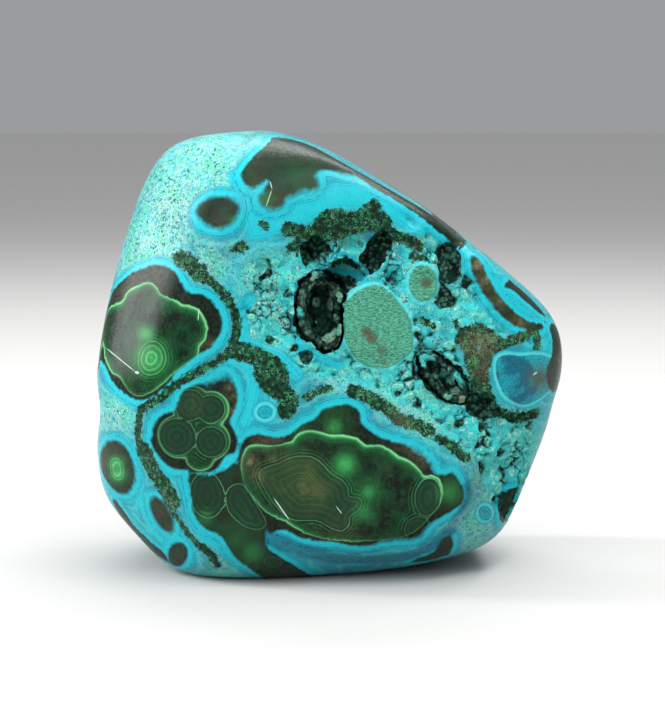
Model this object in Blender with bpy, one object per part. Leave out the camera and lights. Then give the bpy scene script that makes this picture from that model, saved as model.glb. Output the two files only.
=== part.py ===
"""Polished freeform of chrysocolla and malachite, with hollows lined by a crust of small beads.

Metres, +Z up. The stone stands on its base flat at z = 0, centred on the origin, with its show face towards -Y.
"""

import math

import bmesh
import bpy
from mathutils import Euler, Matrix, Vector, noise

MM = 0.001

# The polished body, in millimetres. It is a ball pulled out to the ground flats, cut finer on its show side
EDGE_SHARPNESS = 26.0
BALL_LEVEL = 4
SHOW_SIDE_LIMIT = 0.25
UNDULATION = 0.4
UNDULATION_WAVE = 24.0
BASE_CUT = 0.9

# Each flat ground on the stone: its outward direction, and its distance from the middle
FLATS = {
    "show_face": ((0.02, -1.00, 0.02), 36.0),
    "upper_left_flank": ((-0.66, -0.70, 0.27), 52.4),
    "lower_left_flank": ((-0.64, -0.70, -0.32), 54.0),
    "top_ridge_bevel": ((0.42, -0.54, 0.73), 57.2),
    "top_left_bevel": ((-0.18, -0.55, 0.81), 60.0),
    "right_end_bevel": ((0.74, -0.56, 0.36), 57.6),
    "lower_right_flank": ((0.64, -0.68, -0.34), 52.0),
    "front_bottom_bevel": ((0.10, -0.66, -0.75), 52.2),
    "top": ((-0.09, 0.05, 0.995), 57.9),
    "top_slant_high": ((0.41, 0.02, 0.912), 48.2),
    "top_slant": ((0.571, 0.02, 0.821), 45.0),
    "top_slant_low": ((0.70, 0.02, 0.714), 47.6),
    "right_end": ((0.995, 0.02, 0.10), 56.4),
    "right_side": ((0.945, 0.06, -0.32), 52.9),
    "lower_right_corner": ((0.65, 0.04, -0.76), 59.2),
    "bottom_right": ((0.22, -0.10, -0.97), 51.4),
    "base": ((0.0, 0.0, -1.0), 48.4),
    "lower_left_corner": ((-0.69, 0.05, -0.725), 60.0),
    "left_side": ((-0.998, 0.05, 0.02), 54.0),
    "left_slant": ((-0.955, 0.05, 0.29), 54.9),
    "upper_left_corner": ((-0.76, 0.05, 0.65), 64.0),
    "back": ((-0.08, 0.98, 0.05), 31.0),
    "back_left_flank": ((-0.72, 0.66, 0.10), 46.5),
    "back_right_flank": ((0.70, 0.66, -0.05), 49.0),
    "back_top": ((0.18, 0.62, 0.76), 47.5),
    "back_bottom": ((-0.05, 0.60, -0.80), 49.0),
}

# Shallow dents in the polish: centre from the stone's centre, reach each way, and depth
DENTS = {
    "left_notch": ((-54.0, -4.0, -8.6), (8.0, 17.0, 4.6), 2.8),
    "right_notch": ((54.0, -4.0, -6.3), (8.0, 14.0, 4.0), 1.3),
    "back_dimple": ((14.0, 30.0, 12.0), (13.0, 13.0, 13.0), 1.6),
}

# Everything below is placed in the finished frame: x to the right and z up, as seen from the front.
# Each hollow: centre x and z, half width, half height, depth below the polish, lean in degrees, and seed
HOLLOWS = {
    "main_hollow": (-1.4, 63.9, 6.1, 9.6, 14.0, -6.0, 1.0),
    "tongue_gap": (3.6, 72.0, 5.2, 3.4, 9.0, 12.0, 2.0),
    "upper_hollow": (-2.9, 77.3, 3.0, 3.2, 7.0, 20.0, 3.0),
    "slot_hollow": (10.6, 76.9, 2.1, 5.8, 8.0, 26.0, 4.0),
    "bridge_hollow": (5.6, 79.0, 3.0, 1.5, 4.5, 8.0, 5.0),
    "disc_pit": (15.2, 71.6, 1.7, 2.4, 3.2, -10.0, 6.0),
    "crevice": (27.6, 75.0, 2.3, 5.4, 5.0, -8.0, 7.0),
    "crack_high": (18.4, 84.2, 1.2, 3.0, 2.6, -50.0, 14.0),
    "crack_middle": (22.9, 80.6, 1.2, 3.0, 2.6, -64.0, 15.0),
    "cleft_hollow": (26.4, 48.4, 3.6, 7.6, 9.0, -42.0, 8.0),
    "cleft_tail": (35.6, 41.4, 2.2, 5.4, 5.0, -58.0, 9.0),
    "cleft_end": (40.2, 37.6, 1.9, 2.0, 2.8, 0.0, 16.0),
    "left_pit_high": (-15.6, 73.6, 2.0, 1.8, 1.8, 10.0, 10.0),
    "left_pit_mid": (-13.2, 68.6, 2.2, 2.6, 2.4, -20.0, 11.0),
    "left_pit_low": (-11.4, 61.4, 2.0, 3.0, 2.0, 8.0, 12.0),
    "shelf_pit": (-5.4, 53.0, 0.9, 2.4, 2.4, 28.0, 13.0),
    "low_right_pit": (41.0, 30.5, 1.5, 2.6, 1.8, 30.0, 17.0),
}
FINE_HOLLOWS = ("main_hollow", "cleft_hollow")
FINE_LEVEL = 3
COARSE_LEVEL = 2

# A hollow is a lumpy ball set into the polish. Its middle and its reach are shares of the depth
MIDDLE_SHARE = 0.3
REACH_SHARE = 0.7
LUMPINESS = 0.16
LUMP_PITCH = 2.2
SEED_STEP = 7.3

# Round nodules that the hollows leave standing: centre x and z, radius, and how far they reach in
NODULES = {
    "large_nodule": (11.1, 63.7, 8.4, 20.0),
    "small_nodule": (20.7, 72.6, 3.7, 8.0),
}
NODULE_LUMPINESS = 0.05
NODULE_SEED = 0.4

# Crusts of beads: the hollow, wall thickness, bead radius and height, and how many beads
CRUSTS = {
    "main_hollow_crust": ("main_hollow", 0.9, 2.1, 2.0, 44),
    "cleft_crust": ("cleft_hollow", 0.6, 1.3, 1.1, 50),
}
CRUST_LEVEL = 3
MOUTH_THINNING = 1.5
CRUST_GAP = 0.5
CRUST_SET_BACK = 1.2
BEAD_SWAY = 0.10
LEAST_SHARE = 0.25

# Rough ground around the hollows: centre x and z, half width, half height and depth of its pitting
ROUGH_GROUND = {
    "left_of_hollow": (-10.0, 68.0, 12.0, 15.0, 1.8),
    "above_hollows": (8.0, 80.0, 17.0, 7.0, 1.4),
    "right_of_nodule": (27.0, 73.0, 9.0, 14.0, 1.8),
    "below_nodule": (10.0, 50.0, 16.0, 6.0, 1.2),
    "around_cleft": (31.0, 44.0, 13.0, 10.0, 1.6),
    "lower_right": (41.0, 29.0, 8.0, 13.0, 1.4),
}
ROUGH_CUTS = 1
PIT_WAVE = 4.8


def ground_radius(direction):
    """Distance in millimetres from the stone's centre to its polish: the flats, blended at their edges."""
    total = 0.0
    for normal, distance in FLATS.values():
        lean = Vector(normal).normalized().dot(direction) / distance
        if lean > 0.0:
            total += lean**EDGE_SHARPNESS
    return total ** (-1.0 / EDGE_SHARPNESS)


def dent_depth(point):
    """How far the dents pull a point of the polish in towards the centre."""
    depth = 0.0
    for centre, reach, deep in DENTS.values():
        away = Vector((p - c) / r for p, c, r in zip(point, centre, reach))
        depth += deep * math.exp(-away.length_squared)
    return depth


def add_mesh(name, bm, collection):
    """A new object in the collection from a bmesh, which is freed."""
    mesh = bpy.data.meshes.new(name)
    bm.to_mesh(mesh)
    bm.free()
    made = bpy.data.objects.new(name, mesh)
    collection.objects.link(made)
    return made


def centred(points):
    """The shift that stands a body on z = 0 with the middle of its box on the origin."""
    lows = [min(p[i] for p in points) for i in range(3)]
    highs = [max(p[i] for p in points) for i in range(3)]
    return Vector((-(lows[0] + highs[0]) / 2, -(lows[1] + highs[1]) / 2, -lows[2]))


def ground_body():
    """A bmesh of the polished body in millimetres, standing on z = 0, before anything is hollowed out."""
    bm = bmesh.new()
    bmesh.ops.create_icosphere(bm, subdivisions=BALL_LEVEL, radius=1.0)
    front = [edge for edge in bm.edges if min(v.co.y for v in edge.verts) < SHOW_SIDE_LIMIT]
    bmesh.ops.subdivide_edges(bm, edges=front, cuts=1, use_grid_fill=True)
    bmesh.ops.triangulate(bm, faces=bm.faces)
    for vert in bm.verts:
        direction = vert.co.normalized()
        polish = direction * ground_radius(direction)
        wave = UNDULATION * noise.noise(polish / UNDULATION_WAVE)
        vert.co = polish + direction * (wave - dent_depth(polish))
    base_height = min(v.co.z for v in bm.verts) + BASE_CUT
    for vert in bm.verts:
        vert.co.z = max(vert.co.z, base_height)
    bmesh.ops.translate(bm, vec=centred([v.co for v in bm.verts]), verts=bm.verts)
    return bm


def roughness_at(point):
    """How deep the ground is pitted at a point of the front, in millimetres."""
    if point.y > 0.0:
        return 0.0
    deepest = 0.0
    for x, z, half_width, half_height, depth in ROUGH_GROUND.values():
        out = math.hypot((point.x - x) / half_width, (point.z - z) / half_height)
        deepest = max(deepest, depth * min(1.0, max(0.0, 2.0 - 2.0 * out)))
    return deepest


def roughen(bm):
    """Cuts the rough ground finer, and pits it."""
    rough = [f for f in bm.faces if roughness_at(f.calc_center_median()) > 0.0]
    edges = list({edge for face in rough for edge in face.edges})
    bmesh.ops.subdivide_edges(bm, edges=edges, cuts=ROUGH_CUTS, use_grid_fill=True)
    bmesh.ops.triangulate(bm, faces=bm.faces)
    bm.normal_update()
    for vert in bm.verts:
        pit = 0.5 - noise.noise(vert.co / PIT_WAVE)
        vert.co -= vert.normal * roughness_at(vert.co) * max(0.0, pit)


def front_of(body, x, z):
    """The point of the front polish at this x and z, in millimetres."""
    hit, point, _, _ = body.ray_cast(Vector((x, -90.0, z)) * MM, Vector((0.0, 1.0, 0.0)))
    if not hit:
        raise ValueError(f"nothing in front at x {x}, z {z}")
    return point / MM


def lumpy_ball(level, half_sizes, seed, lumpiness, inset=lambda direction: 0.0):
    """A bmesh of an ellipsoid in millimetres, uneven by noise and drawn in by the inset at each direction."""
    bm = bmesh.new()
    bmesh.ops.create_icosphere(bm, subdivisions=level, radius=1.0)
    for vert in bm.verts:
        direction = vert.co.normalized()
        swell = 1.0 + lumpiness * noise.noise(direction * LUMP_PITCH + Vector((seed * SEED_STEP, 0.0, 0.0)))
        point = Vector(d * size * swell for d, size in zip(direction, half_sizes))
        vert.co = point - point.normalized() * inset(direction)
    return bm


def hollow_place(body, name):
    """The matrix that puts a hollow's ball, made at the origin, where the hollow is."""
    x, z, _, _, depth, lean, _ = HOLLOWS[name]
    front = front_of(body, x, z)
    front.y += MIDDLE_SHARE * depth
    return Matrix.Translation(front) @ Euler((0.0, math.radians(lean), 0.0)).to_matrix().to_4x4()


def hollow_ball(body, name, level, inset=lambda direction: 0.0):
    """A bmesh of the space that a hollow takes out of the stone, drawn in by the inset."""
    _, _, half_width, half_height, depth, _, seed = HOLLOWS[name]
    bm = lumpy_ball(level, (half_width, REACH_SHARE * depth, half_height), seed, LUMPINESS, inset)
    bmesh.ops.transform(bm, matrix=hollow_place(body, name), verts=bm.verts)
    return bm


def finish_tool(name, bm, collection):
    """A cutter object from a bmesh in millimetres: drawn as wire, and left out of renders."""
    bmesh.ops.scale(bm, vec=(MM, MM, MM), verts=bm.verts)
    tool = add_mesh(name, bm, collection)
    tool.hide_render = True
    tool.display_type = "WIRE"
    return tool


def combine(target, tool, operation):
    """Adds an exact Boolean to the target."""
    modifier = target.modifiers.new(f"{operation.lower()}_{tool.name}", "BOOLEAN")
    modifier.object = tool
    modifier.operation = operation
    modifier.solver = "EXACT"


def nodule_tool(body, name, swell, collection):
    """A rounded plug where a nodule stands, swollen by a clearance in millimetres."""
    x, z, radius, reach = NODULES[name]
    half_sizes = (radius + swell, reach + swell, radius + swell)
    bm = lumpy_ball(FINE_LEVEL, half_sizes, NODULE_SEED, NODULE_LUMPINESS)
    bmesh.ops.translate(bm, vec=front_of(body, x, z), verts=bm.verts)
    return finish_tool(f"{name}_plug_{int(swell * 10)}", bm, collection)


def bead_height(direction, seeds, spread, height):
    """Height of the rounded beads at a direction: the tallest dome over the seeds near it."""
    tallest = 0.0
    for seed in seeds:
        away = (direction - seed).length / spread
        if away < 1.0:
            tallest = max(tallest, height * math.sqrt(1.0 - away * away))
    return tallest


def even_directions(count):
    """Directions spread evenly over a ball, along a spiral with golden-angle steps."""
    golden = math.pi * (3.0 - math.sqrt(5.0))
    found = []
    for index in range(count):
        up = 1.0 - 2.0 * (index + 0.5) / count
        ring = math.sqrt(1.0 - up * up)
        turn = golden * index
        sway = BEAD_SWAY * noise.noise_vector(Vector((index * 0.71, 3.1, 0.0)))
        found.append((Vector((ring * math.cos(turn), ring * math.sin(turn), up)) + sway).normalized())
    return found


def crust(name, body, shrunk_body, collection, tools):
    """One closed crust of beads that lines a hollow, set back from the polish."""
    hollow, wall, bead_radius, height, count = CRUSTS[name]
    _, _, half_width, half_height, depth, _, _ = HOLLOWS[hollow]
    seeds = even_directions(count)
    spread = 2.0 * bead_radius / ((half_width + half_height + REACH_SHARE * depth) / 3.0)

    def inner_face(direction):
        share = max(LEAST_SHARE, 1.0 - MOUTH_THINNING * max(0.0, -direction.y))
        return CRUST_GAP + share * (wall + bead_height(direction, seeds, spread, height))

    outer = hollow_ball(body, hollow, CRUST_LEVEL, lambda direction: CRUST_GAP)
    inner = hollow_ball(body, hollow, CRUST_LEVEL, inner_face)
    bmesh.ops.scale(outer, vec=(MM, MM, MM), verts=outer.verts)
    made = add_mesh(name, outer, collection)
    combine(made, shrunk_body, "INTERSECT")
    combine(made, finish_tool(f"{name}_void", inner, tools), "DIFFERENCE")
    return made


def principled(name, colour, roughness):
    """A material with a plain Principled BSDF."""
    material = bpy.data.materials.new(name)
    material.use_nodes = True
    shader = material.node_tree.nodes["Principled BSDF"]
    shader.inputs["Base Color"].default_value = (*colour, 1.0)
    shader.inputs["Roughness"].default_value = roughness
    shader.inputs["Metallic"].default_value = 0.0
    return material


def set_back_body():
    """A bmesh of the body pulled in under its polish, which the crusts stay within."""
    bm = ground_body()
    bm.normal_update()
    for vert in bm.verts:
        vert.co -= vert.normal * CRUST_SET_BACK
    return bm


def add_stone(specimen, cutters):
    """The stone with its rough ground, and every hollow cut out of it."""
    bm = ground_body()
    roughen(bm)
    bmesh.ops.scale(bm, vec=(MM, MM, MM), verts=bm.verts)
    stone = add_mesh("stone", bm, specimen)
    for cutter in cutters.values():
        combine(stone, cutter, "DIFFERENCE")
    stone.data.materials.append(principled("polished_chrysocolla", (0.05, 0.50, 0.52), 0.15))


def add_crusts(specimen, tools, body, cutters):
    """Each crust, kept clear of the nodules and of the hollows beside its own."""
    shrunk_body = finish_tool("set_back_body", set_back_body(), tools)
    wide_plugs = [nodule_tool(body, name, CRUST_GAP, tools) for name in NODULES]
    for name, (hollow, *_) in CRUSTS.items():
        made = crust(name, body, shrunk_body, specimen, tools)
        for plug in wide_plugs:
            combine(made, plug, "DIFFERENCE")
        for other, cutter in cutters.items():
            if other != hollow:
                combine(made, cutter, "DIFFERENCE")
        made.data.materials.append(principled(f"{name}_beads", (0.10, 0.32, 0.26), 0.6))


def build():
    """The specimen: one solid stone, and a crust in each of its two lined hollows."""
    for old in list(bpy.data.objects):
        bpy.data.objects.remove(old)
    specimen = bpy.data.collections.new("chrysocolla_specimen")
    tools = bpy.data.collections.new("cutters")
    bpy.context.scene.collection.children.link(specimen)
    bpy.context.scene.collection.children.link(tools)

    body = finish_tool("ground_body", ground_body(), tools)
    bpy.context.view_layer.update()
    plugs = [nodule_tool(body, name, 0.0, tools) for name in NODULES]
    cutters = {}
    for name in HOLLOWS:
        level = FINE_LEVEL if name in FINE_HOLLOWS else COARSE_LEVEL
        cutters[name] = finish_tool(name, hollow_ball(body, name, level), tools)
        for plug in plugs:
            combine(cutters[name], plug, "DIFFERENCE")
    add_stone(specimen, cutters)
    add_crusts(specimen, tools, body, cutters)


build()
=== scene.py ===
import math
from functools import reduce
from types import SimpleNamespace

import bmesh
import bpy
import numpy as np
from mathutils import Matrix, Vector, noise
from mathutils.bvhtree import BVHTree
from mathutils.kdtree import KDTree


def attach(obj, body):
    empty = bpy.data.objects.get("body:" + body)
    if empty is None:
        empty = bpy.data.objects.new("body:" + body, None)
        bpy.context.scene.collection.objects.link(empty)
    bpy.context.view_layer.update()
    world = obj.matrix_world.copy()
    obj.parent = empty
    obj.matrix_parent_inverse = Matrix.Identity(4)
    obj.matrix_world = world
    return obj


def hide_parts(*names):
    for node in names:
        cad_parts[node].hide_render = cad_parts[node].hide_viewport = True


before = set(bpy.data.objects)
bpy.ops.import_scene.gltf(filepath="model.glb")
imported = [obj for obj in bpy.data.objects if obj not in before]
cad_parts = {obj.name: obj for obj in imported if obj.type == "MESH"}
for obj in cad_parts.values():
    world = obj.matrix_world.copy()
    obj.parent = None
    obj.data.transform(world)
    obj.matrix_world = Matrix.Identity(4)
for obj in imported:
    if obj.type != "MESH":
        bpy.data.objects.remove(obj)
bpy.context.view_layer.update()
mm = 0.001
noise.seed_set(5)  # noise_vector takes its bends from the clock otherwise
mergeGap = 1e-6  # metres
farOff = 99.0  # millimetres, for points that nothing is near


# camera: the photo's own view, a little above the middle of the stone
lens = {
    "frameWidth": 665, "frameHeight": 702, "sensor": 36.0,
    "distance": 0.60, "elevation": 6.0, "span": 0.1696,
    "lookAt": (0.00095, 0.0, 0.0512),
}


def addObject(name, data):
    made = bpy.data.objects.new(name, data)
    bpy.context.scene.collection.objects.link(made)
    return made


def aimAlong(made, at, way):
    made.location = at
    made.rotation_euler = way.to_track_quat("-Z", "Y").to_euler()


def addCamera():
    rise = math.radians(lens["elevation"])
    away = Vector((0.0, -math.cos(rise), math.sin(rise)))
    up = Vector((0.0, math.sin(rise), math.cos(rise)))
    data = bpy.data.cameras.new("photoCamera")
    data.sensor_fit = "VERTICAL"
    data.sensor_height = lens["sensor"]
    data.lens = lens["sensor"] * lens["distance"] / lens["span"]
    made = addObject("photoCamera", data)
    aimAlong(made, Vector(lens["lookAt"]) + away * lens["distance"], -away)
    bpy.context.scene.camera = made
    return {"eye": made.location.copy(), "away": away, "right": Vector((1.0, 0.0, 0.0)), "up": up}


# pixels of the photo from points of the stone, and back
def toPhoto(view, points):
    out = points - np.array(view["eye"])
    depth = -(out @ np.array(view["away"]))
    scale = lens["distance"] / lens["span"] * lens["frameHeight"] / depth
    across = lens["frameWidth"] / 2 + (out @ np.array(view["right"])) * scale
    down = lens["frameHeight"] / 2 - (out @ np.array(view["up"])) * scale
    return np.stack([across, down], axis=1)


def onStone(skin, across, down):
    # the place that the pixel shows, and whether the stone is there at all
    view = skin["view"]
    unit = lens["span"] / lens["distance"] / lens["frameHeight"]
    sideways = view["right"] * (across - lens["frameWidth"] / 2) * unit
    upwards = view["up"] * (lens["frameHeight"] / 2 - down) * unit
    way = (sideways + upwards - view["away"]).normalized()
    hit = skin["tree"].ray_cast(view["eye"], way)
    if hit[0] is not None:
        return hit[0], True
    beside = view["eye"] + way * lens["distance"]
    return skin["tree"].find_nearest(beside)[0], False


# the stone's skin: the CAD solid with its facets polished away and its rough ground given grain,
# pitches, widths and depths in millimetres, the voxel in metres
stoneSkin = {
    "voxel": 0.00085, "polishRounds": 45, "roughRounds": 8, "warpPitch": 1.5, "warpReach": 0.6,
    "floretPitch": 2.3, "floretDepth": 0.4, "gapWidth": 0.32, "gapDepth": 0.95, "gapPatch": 5.5, "gapSteep": 2.4,
    "grainPitch": 0.9, "grainDepth": 0.26, "pitPitch": 3.1, "pitDepth": 1.0, "pitSteep": 4.0, "pitFrom": 0.95,
    "mouthPitch": 2.6, "mouthDepth": 1.7, "mouthShift": 0.25, "mouthFrom": 0.3, "edgeWidth": 1.6, "sunkFrom": 1.3,
    "sunkSpan": (-22.0, 46.0), "discGuard": 0.8, "cutFrom": 0.05, "roughFrom": 0.02, "deepFrom": 0.01,
    "weightLevels": 20, "shallowShare": 0.8, "ledgeShare": 2.0,
}

# edge of the rough ground in the photo
roughOutline = [
    (246, 262), (276, 254), (300, 243), (330, 240), (360, 241), (388, 232), (403, 224), (436, 245), (458, 241),
    (470, 258), (484, 290), (506, 312), (516, 330), (496, 338), (472, 330), (462, 350), (472, 398), (492, 416),
    (534, 412), (528, 470), (518, 520), (494, 506), (478, 466), (452, 440), (428, 418), (398, 402), (368, 388),
    (340, 380), (318, 378), (296, 368), (284, 352), (262, 346), (243, 330), (240, 300),
]


def applyModifiers(piece):
    depsgraph = bpy.context.evaluated_depsgraph_get()
    finished = bpy.data.meshes.new_from_object(piece.evaluated_get(depsgraph))
    piece.modifiers.clear()
    piece.data = finished


def mergedMesh(node):
    bm = bmesh.new()
    bm.from_mesh(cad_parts[node].data)
    bmesh.ops.remove_doubles(bm, verts=bm.verts, dist=mergeGap)
    return bm


def objectFrom(bm, name):
    mesh = bpy.data.meshes.new(name)
    bm.to_mesh(mesh)
    bm.free()
    return addObject(name, mesh)


def evenSkin(name, node, voxel):
    # a copy of a CAD node, cut evenly all over
    piece = objectFrom(mergedMesh(node), name)
    remesh = piece.modifiers.new("evenSkin", "REMESH")
    remesh.mode = "VOXEL"
    remesh.voxel_size = voxel
    applyModifiers(piece)
    return piece


def meshValues(rows, key):
    flat = np.empty(len(rows) * 3, dtype=np.float32)
    rows.foreach_get(key, flat)
    return flat.reshape(-1, 3).astype(float)


def meshPoints(mesh):
    return meshValues(mesh.vertices, "co")


def meshNormals(mesh):
    return meshValues(mesh.vertex_normals, "vector")


def surfaceTree(points, mesh):
    return BVHTree.FromPolygons([Vector(p) for p in points], [tuple(f.vertices) for f in mesh.polygons])


def hullTree(node):
    bm = mergedMesh(node)
    made = bmesh.ops.convex_hull(bm, input=bm.verts)
    kept = set(made["geom"])
    bmesh.ops.delete(bm, geom=[v for v in bm.verts if v not in kept], context="VERTS")
    hullFaces = {f for f in made["geom"] if isinstance(f, bmesh.types.BMFace)}
    bmesh.ops.delete(bm, geom=[f for f in bm.faces if f not in hullFaces], context="FACES_ONLY")
    tree = BVHTree.FromBMesh(bm)
    bm.free()
    return tree


def depthBelow(tree, points):
    return np.array([tree.find_nearest(Vector(p))[3] for p in points]) / mm


def readSkin(piece, view):
    points, normals = meshPoints(piece.data), meshNormals(piece.data)
    towards = np.array(view["eye"]) - points
    towards /= np.linalg.norm(towards, axis=1)[:, None]
    return {
        "view": view, "points": points, "normals": normals, "photo": toPhoto(view, points),
        "facing": (normals * towards).sum(axis=1), "tree": surfaceTree(points, piece.data),
    }


# signed fields over the stone, in millimetres and below zero inside
def roundedLoop(outline, steps=6, closed=True):
    dots = np.array(outline, dtype=float)
    count = len(dots)
    made = []
    for i in range(count if closed else count - 1):
        before = dots[(i - 1) % count] if closed or i > 0 else dots[i]
        after = dots[(i + 2) % count] if closed or i + 2 < count else dots[i + 1]
        here, there = dots[i], dots[(i + 1) % count]
        for step in range(steps):
            t = step / steps
            bend = 2 * here + (there - before) * t + (2 * before - 5 * here + 4 * there - after) * t**2
            made.append((bend + (3 * here - before - 3 * there + after) * t**3) / 2)
    if not closed:
        made.append(dots[-1])
    return made


def insideOutline(photo, outline):
    dots = np.array(outline)
    x, y = photo[:, 0], photo[:, 1]
    inside = np.zeros(len(photo), dtype=bool)
    for (x0, y0), (x1, y1) in zip(dots, np.roll(dots, -1, axis=0)):
        crosses = (y0 > y) != (y1 > y)
        with np.errstate(divide="ignore", invalid="ignore"):
            inside ^= crosses & (x < (x1 - x0) * (y - y0) / (y1 - y0) + x0)
    return inside


def awayFromLoop(skin, loop):
    met = [onStone(skin, across, down) for across, down in loop]
    track = [place for place, isThere in met if isThere]
    tree = KDTree(len(track))
    for i, dot in enumerate(track):
        tree.insert(dot, i)
    tree.balance()
    return np.array([tree.find(Vector(p))[2] for p in skin["points"]]) / mm


def outlineField(skin, outline, leastFacing=-0.1):
    loop = roundedLoop(outline)
    away = awayFromLoop(skin, loop)
    inside = insideOutline(skin["photo"], loop) & (skin["facing"] > leastFacing)
    return np.where(inside, -away, away)


def strokeField(skin, path, half, steps=8):
    return awayFromLoop(skin, roundedLoop(path, steps, closed=False)) - half


def ovalOutline(across, down, halfWidth, halfHeight, turn=0.0, dots=14):
    lean = math.radians(turn)
    made = []
    for i in range(dots):
        angle = 2 * math.pi * i / dots
        x, y = halfWidth * math.cos(angle), halfHeight * math.sin(angle)
        made.append((across + x * math.cos(lean) - y * math.sin(lean), down + x * math.sin(lean) + y * math.cos(lean)))
    return made


def nearestOf(skin, fields):
    return reduce(np.minimum, fields, np.full(len(skin["points"]), farOff))


def awayFrom(points, seat):
    return np.linalg.norm(points - np.array(seat), axis=1) / mm


def ballField(skin, balls):
    # balls given by their places in millimetres, moved to the nearest place on the stone
    seats = [(skin["tree"].find_nearest(Vector(middle) * mm)[0], radius) for *middle, radius in balls]
    return nearestOf(skin, (awayFrom(skin["points"], seat) - radius for seat, radius in seats))


def frontBallField(skin, balls):
    # balls given by their pixels in the photo
    seats = [(onStone(skin, across, down)[0], radius) for across, down, radius in balls]
    return nearestOf(skin, (awayFrom(skin["points"], seat) - radius for seat, radius in seats))


def glowField(skin, spots):
    # soft spots: photo place, radius in pixels, strength
    strongest = np.zeros(len(skin["points"]))
    for across, down, radius, strength in spots:
        away = np.hypot(skin["photo"][:, 0] - across, skin["photo"][:, 1] - down) / radius
        strongest = np.maximum(strongest, strength * np.exp(-away**2))
    return strongest * (skin["facing"] > 0.0)


def noiseOver(points, pitch, shift=0.0):
    offset = Vector((shift, shift * 0.7, -shift))
    return np.array([noise.noise(Vector(p) / (pitch * mm) + offset) for p in points])


def cellsOver(points, pitch):
    # how far each point is from its cell's middle, and how near it is to the next cell
    near = np.array([noise.voronoi(Vector(p) / (pitch * mm))[0][:2] for p in points])
    return near[:, 0], near[:, 1] - near[:, 0]


def warped(points, pitch, reach):
    bends = np.array([noise.noise_vector(Vector(p) / (pitch * mm)) for p in points])
    return points + bends * reach * mm


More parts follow.
